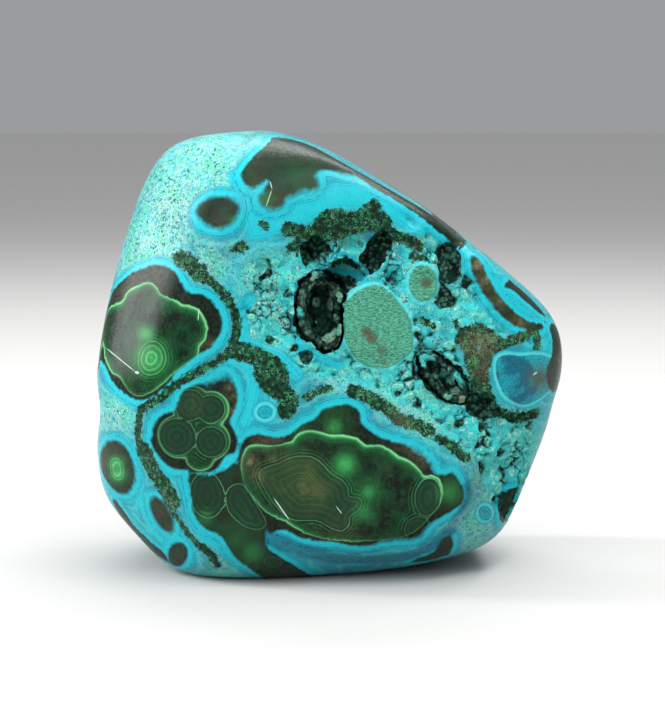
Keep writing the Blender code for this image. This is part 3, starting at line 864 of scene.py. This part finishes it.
def druseGroup():
    # dark beads with pale sugary tops and near-black painted shade between them, shared by the hollows' walls and their
    # crusts
    tree = bpy.data.node_groups.new("druseGrain", "ShaderNodeTree")
    tree.interface.new_socket(name="Place", in_out="INPUT", socket_type="NodeSocketVector")
    tree.interface.new_socket(name="Tint", in_out="OUTPUT", socket_type="NodeSocketColor")
    tree.interface.new_socket(name="Height", in_out="OUTPUT", socket_type="NodeSocketFloat")
    built["tree"] = tree
    place = newNode("NodeGroupInput").outputs["Place"]
    bead = cellsAt(bentPlace(place, 0.8, 0.5), 1.2)
    fine = grainAt(place, 0.2, 3.0, 0.65)
    top = fade(bead, 0.58, 0.18)
    # painted shade: the near-black ground between the bead tops
    tint = blend(fade(grainAt(place, 2.4), 0.34, 0.56), "hollowShade", "hollowGreen")
    tint = laid(tint, "druse", top, fade(fine, 0.36, 0.52, 0.0, 0.85))
    tint = laid(tint, "white", top, fade(fine, 0.57, 0.66, 0.0, 0.45))
    plugAll(newNode("NodeGroupOutput"), {"Tint": tint, "Height": total(product(bead, -1.0), product(fine, 0.5))})
    return tree


def druseAt(group, place):
    step = newNode("ShaderNodeGroup")
    step.node_tree = group
    plug(place, step.inputs["Place"])
    return step.outputs["Tint"], step.outputs["Height"]


def chrysocollaTint(grain, field):
    # bands that follow the nodules, bright beside them and darker away from them
    flow = total(field.rind, product(grain.middle, 3.4), product(grain.small, 0.5))
    tint = blend(fade(grain.broad, 0.36, 0.64), "cyan", "cyanDeep")
    tint = laid(tint, "cyanLight", fade(ripples(flow, 1.5), 0.0, 1.0, 0.0, 0.3))
    tint = laid(tint, "cyanDeep", fade(ripples(flow, 4.6), 0.5, 1.0, 0.0, 0.5))
    beside = highest(fade(field.rind, 2.4, 1.0), fade(field.clean, 0.4, -0.5))
    tint = laid(tint, "cyanBright", beside, fade(grain.small, 0.3, 0.6, 0.75, 0.95))
    tint = laid(tint, "cyanDeep", beside, fade(ripples(field.rind, 13.0), 0.3, 1.0), 0.22)
    for shift, half, share in ((-1.35, 0.17, 0.9), (-1.85, 0.14, 0.6), (-0.85, 0.12, 0.35)):
        tint = laid(tint, "cyanDark", line(field.rind, half, shift), fade(grain.small, 0.36, 0.54), share)
    tint = laid(tint, "cyanDeep", line(field.clean, 0.14, 0.75), 0.5)
    tint = laid(tint, "teal", fade(field.teal, 0.9, -0.9, 0.0, 0.85))
    return laid(tint, "tealDark", fade(field.teal, 0.2, -1.0), fade(grain.small, 0.52, 0.66, 0.0, 0.7))


def crustyTint(tint, grain, field, pore):
    # pale and chalky ground, the chalk partly a painted whitish sheen, florets, white specks, and pits with pale lips
    # whose dark is painted shade
    ground = product(fade(field.clean, -0.2, 0.8), fade(field.rind, 1.4, 2.6))
    paleness = product(ground, scaled(field.pale, 0.9, 0.06))
    tint = laid(tint, "pale", paleness, fade(grain.small, 0.40, 0.58, 0.1, 0.85))
    tint = laid(tint, "paleGreen", paleness, fade(grain.middle, 0.50, 0.62, 0.0, 0.8))
    sugar = product(paleness, fade(grain.fine, 0.55, 0.65, 0.0, 0.85), fade(field.rough, 0.0, 1.0, 1.0, 0.4))
    tint = laid(tint, "white", sugar)
    # partly painted whitish sheen: the grey chalk laid on the polished pale ground
    chalkAndSheenShare = product(paleness, fade(grain.middle, 0.56, 0.44), fade(grain.small, 0.38, 0.54), 0.65)
    tint = laid(tint, "chalkAndSheen", chalkAndSheenShare, fade(field.rough, 0.0, 0.6, 1.0, 0.0))
    tint = laid(tint, "crust", field.rough, ground, fade(grain.broad, 0.40, 0.60, 0.35, 0.8))
    petal = product(field.rough, ground, fade(grain.middle, 0.34, 0.46))
    petalTone = blend(fade(grain.fine, 0.36, 0.54), "paleGreen", "pale")
    tint = laid(tint, petalTone, petal, fade(field.floret, 0.28, 0.56), 0.9)
    tint = laid(tint, "cyanDeep", petal, fade(ripples(field.floret, 26.0), 0.2, 1.0), 0.22)
    tint = laid(tint, "white", line(field.floret, 0.10, -0.38), petal, fade(grain.small, 0.40, 0.56), 0.6)
    pitted = product(ground, scaled(highest(field.pale, field.rough), 0.8, 0.12))
    nearGap = highest(fade(field.floret, 0.62, 0.30), rest(field.rough))
    crowded = highest(field.crumb, fade(field.rough, 0.0, 1.0, 1.0, 0.3))
    patch = product(nearGap, fade(grain.middle, 0.42, 0.54), crowded)
    pore = total(pore, product(grain.fine, 0.5), scaled(field.rough, -0.12, -0.27))
    # painted shade: the pits and dark specks that the bump sinks are filled with the dark pit colour
    pitShade = product(pitted, fade(pore, 0.31, 0.20), patch)
    crumbly = product(field.rough, pitted, fade(pore, 0.55, 0.40), patch, fade(grain.fine, 0.46, 0.56))
    tint = laid(tint, "white", crumbly, 0.75)
    tint = laid(tint, "white", pitted, line(pore, 0.06, -0.36), patch, 0.2)
    tint = laid(tint, "pit", pitShade)
    speckShade = product(pitted, fade(grain.fine, 0.42, 0.34), fade(grain.small, 0.36, 0.50, 0.4, 1.0), 0.75)
    return laid(tint, "pit", speckShade), highest(pitShade, speckShade), paleness


def mossTint(grain, curl, brown):
    # dark green with curling yellow-green threads and mint grains
    tint = blend(fade(grain.small, 0.40, 0.60), "mossDark", "mossGreen")
    tint = laid(tint, "mossLeaf", fade(curl, 0.17, 0.24), fade(grain.small, 0.48, 0.56, 0.05, 0.95))
    threads = product(line(curl, 0.04, -0.13), fade(grain.small, 0.50, 0.55), fade(grain.middle, 0.44, 0.52))
    tint = laid(tint, "mossGold", threads, 0.7)
    tint = laid(tint, "mossMint", fade(grain.fine, 0.56, 0.62), fade(grain.middle, 0.42, 0.54), 0.7)
    return laid(tint, "khaki", brown, fade(grain.fine, 0.4, 0.55, 0.1, 0.9))


def malachiteTint(place, grain, field):
    # a dark rind, a bright line, and dark green within, ringed round its eyes
    veil = total(product(grain.small, 1.2), product(grain.middle, 1.6), -1.4)
    bands = ripples(total(field.heart, product(veil, 0.3)), 8.0)
    green = blend(fade(grain.middle, 0.36, 0.66), "night", "forest")
    green = laid(green, "leaf", fade(field.heart, -3.2, -0.3), fade(bands, 0.0, 1.0, 0.0, 0.3))
    green = laid(green, "leaf", fade(grain.small, 0.46, 0.66), fade(grain.fine, 0.40, 0.62), 0.35)
    green = laid(green, "leaf", fade(field.heart, -2.4, -0.05), scaled(field.lit, 0.8, 0.05))
    green = laid(green, "bright", fade(field.heart, -1.0, -0.05), field.lit, 0.5)

    inEye = fade(field.eye, 0.1, -0.15)
    bent = total(field.eye, product(veil, 0.2))
    rings = ripples(bent, 4.6)
    eyeTone = blend(sums("MULTIPLY", field.brown, 1.2, clamp=True), "slate", "olive")
    eyeTone = laid(eyeTone, "forest", fade(grain.middle, 0.40, 0.62, 0.0, 0.6))
    ringing = product(scaled(field.brown, 0.6, 0.2), fade(field.eye, -8.0, -2.2, 0.2, 1.0))
    eyeTone = laid(eyeTone, "leaf", fade(rings, 0.0, 1.0), ringing)
    eyeTone = laid(eyeTone, "night", fade(ripples(bent, 10.0), 0.0, 1.0), ringing, 0.8)
    green = laid(green, eyeTone, inEye)

    rindTone = blend(fade(grain.small, 0.36, 0.64), "night", "umber")
    green = blend(fade(field.heart, 0.12, -0.12), rindTone, green)
    plainTone = blend(fade(grain.middle, 0.38, 0.62), "umber", "slate")
    green = laid(green, laid(plainTone, eyeTone, inEye, 0.8), field.plain)
    # mostly real brown stains, but on the right bevel this tone paints a brown-grey reflection streak
    stainAndSheenTone = blend(fade(field.brown, 0.75, 1.0), "brown", "khaki")
    green = laid(green, stainAndSheenTone, field.brown, fade(grain.small, 0.32, 0.58, 0.35, 0.9), rest(inEye))
    green = laid(green, "bright", field.shine, fade(grain.small, 0.25, 0.6, 0.7, 0.95))
    green = laid(green, "mint", field.shine, inEye, fade(rings, 0.0, 1.0, 0.0, 0.6))
    notPlain = rest(field.plain)
    green = laid(green, "mint", line(field.heart, 0.50), field.lit, notPlain, 0.8)
    green = laid(green, "mint", line(field.heart, 0.17), scaled(field.lit, 0.7, 0.25), notPlain)
    green = laid(green, "mint", line(field.eye, 0.14), scaled(field.lit, 0.75, 0.2), 0.75)
    inner = fade(field.heart, -1.4, -2.2)
    for shift, half, share in ((-0.75, 0.16, 0.3), (-1.5, 0.14, 0.2)):
        green = laid(green, "bright", line(field.eye, half, shift), inner, share)
    return laid(green, "mossMint", fade(cellsAt(place, 1.3), 0.08, 0.03), fade(grain.middle, 0.48, 0.60, 0.0, 0.6))


def poolTint(grain, field):
    # ringed blue eyes of chrysocolla
    tint = blend(fade(field.teal, 0.9, -0.9), "cyan", "teal")
    tint = laid(tint, "cyan", fade(grain.middle, 0.46, 0.62, 0.0, 0.7))
    tint = laid(tint, "tealDark", fade(grain.fine, 0.53, 0.60, 0.0, 0.85), fade(field.pool, -0.6, -1.4))
    tint = laid(tint, "cyanLight", line(field.pool, 0.6, 0.75), 0.85)
    tint = laid(tint, "cyanDark", fade(ripples(field.pool, 8.0), 0.2, 1.0), 0.2)
    tint = laid(tint, "cyanDark", line(field.pool, 0.16), 0.6)
    return laid(tint, "brown", field.brown, fade(field.pool, -0.9, -1.8))


def discTint(place, grain, field):
    # the fine waves of the two round nodules in the rough ground
    waves = vectors("MULTIPLY", bentPlace(place, 1.6, 0.8), (0.8, 1.0, 2.8))
    ripple = grainAt(waves, 0.66, 2.0, 0.6)
    tint = blend(fade(ripple, 0.36, 0.60), "discDark", "disc")
    tint = laid(tint, "pale", fade(grain.fine, 0.56, 0.66), 0.5)
    tint = laid(tint, "stain", fade(field.brown, 0.12, 0.75), fade(grain.fine, 0.36, 0.54, 0.4, 0.95))
    return tint, ripple


# straight scratches and cracks, and two short painted highlight glints, in pixels of the photo, with their half widths
# in millimetres
scratchesAndGlints = {
    "white": [
        # the marks from 135,372 and from 533,375 are painted highlight glints, the rest white scratches and cracks
        (104, 346, 137, 373, 0.10), (135, 372, 139, 373, 0.28), (273, 497, 290, 521, 0.14), (336, 506, 342, 514, 0.09),
        (270, 181, 272, 189, 0.10), (272, 189, 266, 207, 0.08), (533, 375, 537, 372, 0.20), (199, 308, 198, 321, 0.10),
    ],
    "pit": [(148, 284, 141, 300, 0.20), (141, 300, 130, 320, 0.26), (130, 320, 138, 343, 0.16)],
}


def scratchAndGlintMask(place, start, end, away, half):
    # measured square to the view, so that a straight mark stays straight on the round stone
    way = (end - start) - away * (end - start).dot(away)
    length = way.length / mm
    way.normalize()
    out = vectors("SUBTRACT", place, tuple(start / mm))
    along = vectors("DOT_PRODUCT", out, tuple(way))
    aside = sums("ABSOLUTE", vectors("DOT_PRODUCT", out, tuple(away.cross(way))))
    nearFace = fade(vectors("DOT_PRODUCT", out, tuple(away)), -9.0, -6.0)
    taper = product(fade(along, -0.1, length * 0.25), fade(along, length + 0.1, length * 0.75), nearFace)
    return fade(sums("DIVIDE", aside, scaled(taper, half, 0.001)), 1.3, 0.6)


def stoneFields(grain):
    # the stored fields, those with an edge swayed by the grain so that no edge is drawn with a ruler
    wander = total(product(grain.small, 0.5), product(grain.middle, 0.7), -0.6)
    thin = total(product(grain.small, 0.3), -0.15)
    ragged = total(product(grain.fine, 1.5), product(grain.small, 1.9), -1.7)
    patchy = total(product(grain.middle, 2.2), -1.1)
    sway = {
        "rind": wander, "clean": wander, "edge": wander, "heart": thin, "eye": thin, "disc": thin, "pool": thin,
        "moss": ragged, "teal": patchy,
    }
    plainNames = ("plain", "pale", "shine", "lit", "brown", "rough", "deep", "sink", "floret", "crumb")
    fields = {name: stored(name) for name in plainNames}
    fields.update({name: total(stored(name), shift) for name, shift in sway.items()})
    return SimpleNamespace(**fields)


stoneLook = {"specular": 0.14, "bumpDepth": 0.0003, "glossLow": 0.10, "glossHigh": 0.42, "scratchAndGlintShare": 0.75}


def stoneMaterial(group, skin):
    made, shader = newMaterial("chrysocollaAndMalachite")
    place = placeInMm()
    grain = SimpleNamespace(
        fine=grainAt(place, 0.30, 3.0, 0.6), small=grainAt(place, 1.1, 3.0, 0.55),
        middle=grainAt(place, 3.4, 3.0, 0.5), broad=grainAt(place, 11.0, 2.0, 0.5),
    )
    field = stoneFields(grain)
    tint = chrysocollaTint(grain, field)
    tint, holes, paleness = crustyTint(tint, grain, field, cellsAt(bentPlace(place, 0.9, 0.8), 1.15))
    inMoss = fade(field.moss, 0.3, -0.3)
    curl = cellsAt(bentPlace(place, 1.0, 1.5), 1.7, "DISTANCE_TO_EDGE")
    tint = laid(tint, mossTint(grain, curl, field.brown), inMoss)
    tint = laid(tint, "mossGold", line(field.moss, 0.14, -0.15), fade(grain.middle, 0.48, 0.58, 0.0, 0.55))
    tint = laid(tint, poolTint(grain, field), fade(field.pool, 0.12, -0.12))
    discTone, ripple = discTint(place, grain, field)
    inDisc = fade(field.disc, 0.15, -0.25)
    tint = laid(tint, discTone, inDisc)
    tint = laid(tint, "cyanLight", fade(field.disc, 0.05, 0.3), fade(field.disc, 1.1, 0.5))
    tint = laid(tint, malachiteTint(place, grain, field), fade(field.edge, 0.25, -0.65))
    # white scratches and cracks, a dark fissure, and two painted highlight glints
    for tone, marks in scratchesAndGlints.items():
        for startX, startY, endX, endY, half in marks:
            start, end = onStone(skin, startX, startY)[0], onStone(skin, endX, endY)[0]
            mask = scratchAndGlintMask(place, start, end, skin["view"]["away"], half)
            tint = laid(tint, tone, mask, stoneLook["scratchAndGlintShare"])

    # the rough ground's sunken gaps and the hollows' deeper walls take the dark druse tint: a druse lining, and painted
    # shade in the recesses
    druse, beads = druseAt(group, place)
    shadedGaps = product(fade(field.sink, 0.42, 0.92), field.rough)
    sunk = total(field.deep, product(grain.middle, 3.0), product(grain.small, 1.2), -2.1)
    druseAndShadeShare = highest(shadedGaps, fade(sunk, 1.8, 3.0))
    plug(laid(tint, druse, druseAndShadeShare), shader.inputs["Base Color"])

    worn = grainAt(vectors("MULTIPLY", place, (2.2, 2.2, 0.4)), 0.5, 3.0, 0.65)
    matte = highest(product(field.rough, 0.8), product(inMoss, 0.3))
    polish = fade(worn, 0.38, 0.64, stoneLook["glossLow"], stoneLook["glossHigh"])
    plug(total(polish, product(matte, 0.6), product(paleness, 0.12)), shader.inputs["Roughness"])
    shader.inputs["Specular IOR Level"].default_value = stoneLook["specular"]
    height = total(
        product(holes, -0.6), product(inMoss, grain.fine, 0.3), product(field.rough, grain.fine, 0.6),
        product(inDisc, ripple, 1.3), product(druseAndShadeShare, beads, 1.2), product(worn, 0.14),
    )
    bumped(shader, height, stoneLook["bumpDepth"])
    return made


# the crusts: fine beads of dark druse over the CAD crust's coarse ones, and the photo's larger lumps
crusts = {
    "mainHollowDruse": {
        "node": "main_hollow_crust", "voxel": 0.00034,
        "beadPitch": 1.7, "beadHeight": 0.55, "grainPitch": 0.55, "grainHeight": 0.16,
        "cover": [
            (299, 282, 2.0), (298, 312, 1.2), (298, 340, 2.0), (312, 354, 1.4), (346, 350, 1.6), (343, 292, 1.5),
            (318, 272, 1.0),
        ],
        "lumps": [
            (313, 276, 1.5, 1.2), (312, 286, 1.7, 1.5), (316, 302, 1.7, 1.8), (331, 304, 1.9, 1.9),
            (331, 293, 1.4, 1.3), (340, 297, 1.4, 1.2), (335, 318, 1.4, 1.2), (331, 337, 2.7, 2.8),
            (339, 330, 1.6, 1.5), (308, 339, 1.4, 1.2), (317, 346, 1.2, 1.0), (326, 349, 1.5, 1.3),
            (337, 346, 1.5, 1.3),
        ],
    },
    "cleftDruse": {
        "node": "cleft_crust", "voxel": 0.00030,
        "beadPitch": 1.3, "beadHeight": 0.50, "grainPitch": 0.5, "grainHeight": 0.12,
        "cover": [(424, 356, 2.4), (440, 354, 1.8), (460, 376, 2.3), (467, 390, 1.9)],
        "lumps": [
            (445, 371, 1.4, 1.2), (452, 380, 1.4, 1.1), (441, 384, 1.3, 1.0), (455, 391, 1.4, 1.1),
            (448, 396, 1.2, 1.0), (463, 400, 1.4, 1.1), (436, 376, 1.2, 0.9), (458, 408, 1.2, 0.9),
        ],
    },
}
# what both crusts share: rounds of smoothing, and lengths in millimetres, the bump depth in metres
crustGrain = {
    "wornRounds": 4, "warpPitch": 1.4, "warpReach": 0.5, "beadRadius": 0.62, "mouthDepth": 2.2, "mouthLift": 0.15,
    "directions": 48, "bumpDepth": 0.0002, "roughness": 0.5, "specular": 0.12,
}


def rimDistance(photo):
    # how far inside the crust's own outline each point lies, in millimetres, found all round from its middle
    count = crustGrain["directions"]
    out = photo - (photo.min(axis=0) + photo.max(axis=0)) / 2
    turn = ((np.arctan2(out[:, 1], out[:, 0]) + np.pi) / (2 * np.pi) * count).astype(int) % count
    away = np.hypot(out[:, 0], out[:, 1])
    reach = np.array([away[turn == i].max() if (turn == i).any() else away.max() for i in range(count)])
    reach = (np.roll(reach, 1) + reach + np.roll(reach, -1)) / 3
    return (reach[turn] - away) * lens["span"] / lens["frameHeight"] / mm


def makeCrust(name, plan, view):
    piece = evenSkin(name, plan["node"], plan["voxel"])
    smoothed(piece, "worn", np.ones(len(piece.data.vertices)), crustGrain["wornRounds"])
    points, normals, away = meshPoints(piece.data), meshNormals(piece.data), np.array(view["away"])
    seen = {"view": view, "points": points, "tree": surfaceTree(points, piece.data)}
    centre, _ = cellsOver(warped(points, crustGrain["warpPitch"], crustGrain["warpReach"]), plan["beadPitch"])
    bead = np.sqrt(np.clip(1.0 - (centre / crustGrain["beadRadius"]) ** 2, 0.0, 1.0))
    grain = 1.0 - cellsOver(points, plan["grainPitch"])[0]
    inward = (points - points[points[:, 1].argmin()]) @ -away / mm
    lift = (bead - 0.5) * plan["beadHeight"] + (grain - 0.6) * plan["grainHeight"]
    lift = lift + np.clip(crustGrain["mouthDepth"] - inward, 0.0, 1.0) * crustGrain["mouthLift"]
    moved = points + normals * (lift * mm)[:, None]
    lump = np.zeros(len(points))
    for across, down, radius, height in plan["lumps"]:
        seat, _ = onStone(seen, across, down)
        apart = np.linalg.norm(points - np.array(seat), axis=1) / mm / radius
        dome = np.sqrt(np.clip(1.0 - apart**2, 0.0, 1.0))
        moved += away * (dome * height * mm)[:, None]
        lump = np.maximum(lump, dome)
    piece.data.vertices.foreach_set("co", moved.ravel())
    rim, cover = rimDistance(toPhoto(view, points)), frontBallField(seen, plan["cover"])
    storeFields(piece, {"bead": bead, "lump": lump, "inward": inward, "rim": rim, "cover": cover})
    piece.data.shade_smooth()
    print(name + ":", len(piece.data.vertices), "vertices")
    return piece


def druseMaterial(group):
    made, shader = newMaterial("druse")
    place = placeInMm()
    fine = grainAt(place, 0.22, 3.0, 0.6)
    tint, beads = druseAt(group, place)
    patch = fade(grainAt(place, 2.6), 0.42, 0.58)
    lump = stored("lump")
    tops = highest(product(fade(stored("bead"), 0.55, 0.95, 0.0, 0.4), patch), fade(lump, 0.3, 0.9))
    sugar = blend(fade(grainAt(place, 3.1), 0.50, 0.60), "druseMint", "khaki")
    tint = laid(tint, sugar, tops, fade(fine, 0.32, 0.48, 0.1, 0.9))
    tint = laid(tint, "white", tops, fade(fine, 0.54, 0.62, 0.0, 0.8))
    # painted shade: the crust darkens towards its rim and deeper into the hollow, but not on the raised lumps
    rimShade = fade(total(stored("rim"), product(grainAt(place, 1.8), 3.0), -1.5), 0.2, 1.4, 0.3, 0.9)
    depthShade = product(rimShade, fade(stored("inward"), 2.6, 6.5, 1.0, 0.35), scaled(patch, 0.7, 0.4))
    shade = highest(depthShade, fade(lump, 0.15, 0.7, 0.0, 0.95))
    tint = laid(tint, blend(patch, "hollowShade", "hollowGreen"), rest(shade))

    # in places round the mouth the crust is chrysocolla still
    ragged = total(product(grainAt(place, 1.0, 3.0, 0.6), 2.4), -1.2)
    # the dark specks are painted shade in the low places of the fine bump
    rimTone = laid(blend(fade(fine, 0.44, 0.60), "cyan", "pale"), "pit", fade(fine, 0.40, 0.33))
    tint = laid(tint, rimTone, fade(total(stored("cover"), ragged), 0.3, -0.3))
    plug(tint, shader.inputs["Base Color"])
    shader.inputs["Roughness"].default_value = crustGrain["roughness"]
    shader.inputs["Specular IOR Level"].default_value = crustGrain["specular"]
    bumped(shader, total(beads, fine), crustGrain["bumpDepth"])
    return made


# pale floor and soft studio light
stage = {
    "floorHalf": 6.0, "floorTone": (0.46, 0.46, 0.45, 1.0), "floorRoughness": 0.8,
    "worldTone": (0.58, 0.59, 0.61, 1.0), "worldStrength": 0.56, "lightsAimAt": (0.0, 0.0, 0.05),
}
softLights = {
    "leftBox": {"at": (-0.80, -0.02, 0.40), "size": (0.44, 0.66), "power": 2.8},
    "streakBox": {"at": (-0.78, 0.10, 0.44), "size": (0.09, 0.62), "power": 5.0},
    "topBox": {"at": (0.30, -0.10, 0.74), "size": (1.10, 0.09), "power": 6.0},
    "rimBox": {"at": (0.0, 0.575, 0.79), "size": (0.90, 0.07), "power": 5.0},
    "frontBox": {"at": (-0.5, -1.3, 0.9), "size": (1.8, 1.2), "power": 21.0},
    "evenSun": {"at": (0.3, -0.2, 2.0), "angle": 1.2, "power": 1.0},
}


def makeFloor():
    bm = bmesh.new()
    bmesh.ops.create_grid(bm, x_segments=1, y_segments=1, size=stage["floorHalf"])
    floor = objectFrom(bm, "floor")
    made, shader = newMaterial("floorPaper")
    shader.inputs["Base Color"].default_value = stage["floorTone"]
    shader.inputs["Roughness"].default_value = stage["floorRoughness"]
    floor.data.materials.append(made)


def makeLights():
    for name, plan in softLights.items():
        data = bpy.data.lights.new(name, "AREA" if "size" in plan else "SUN")
        data.energy = plan["power"]
        if "size" in plan:
            data.shape = "RECTANGLE"
            data.size, data.size_y = plan["size"]
        else:
            data.angle = plan["angle"]
        aimAlong(addObject(name, data), plan["at"], Vector(stage["lightsAimAt"]) - Vector(plan["at"]))


def makeStage():
    makeFloor()
    world = bpy.data.worlds.new("studio")
    world.use_nodes = True
    world.node_tree.nodes["Background"].inputs["Color"].default_value = stage["worldTone"]
    world.node_tree.nodes["Background"].inputs["Strength"].default_value = stage["worldStrength"]
    bpy.context.scene.world = world
    makeLights()
    bpy.context.scene.view_settings.view_transform = "Standard"


view = addCamera()
makeStage()
stone, skin = makeStone(view, hullTree("stone"))
stone.data.materials.clear()
druseGrain = druseGroup()
stone.data.materials.append(stoneMaterial(druseGrain, skin))
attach(stone, "root")
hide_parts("stone")
druse = druseMaterial(druseGrain)
for name, plan in crusts.items():
    crust = makeCrust(name, plan, view)
    crust.data.materials.clear()
    crust.data.materials.append(druse)
    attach(crust, "root")
    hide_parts(plan["node"])
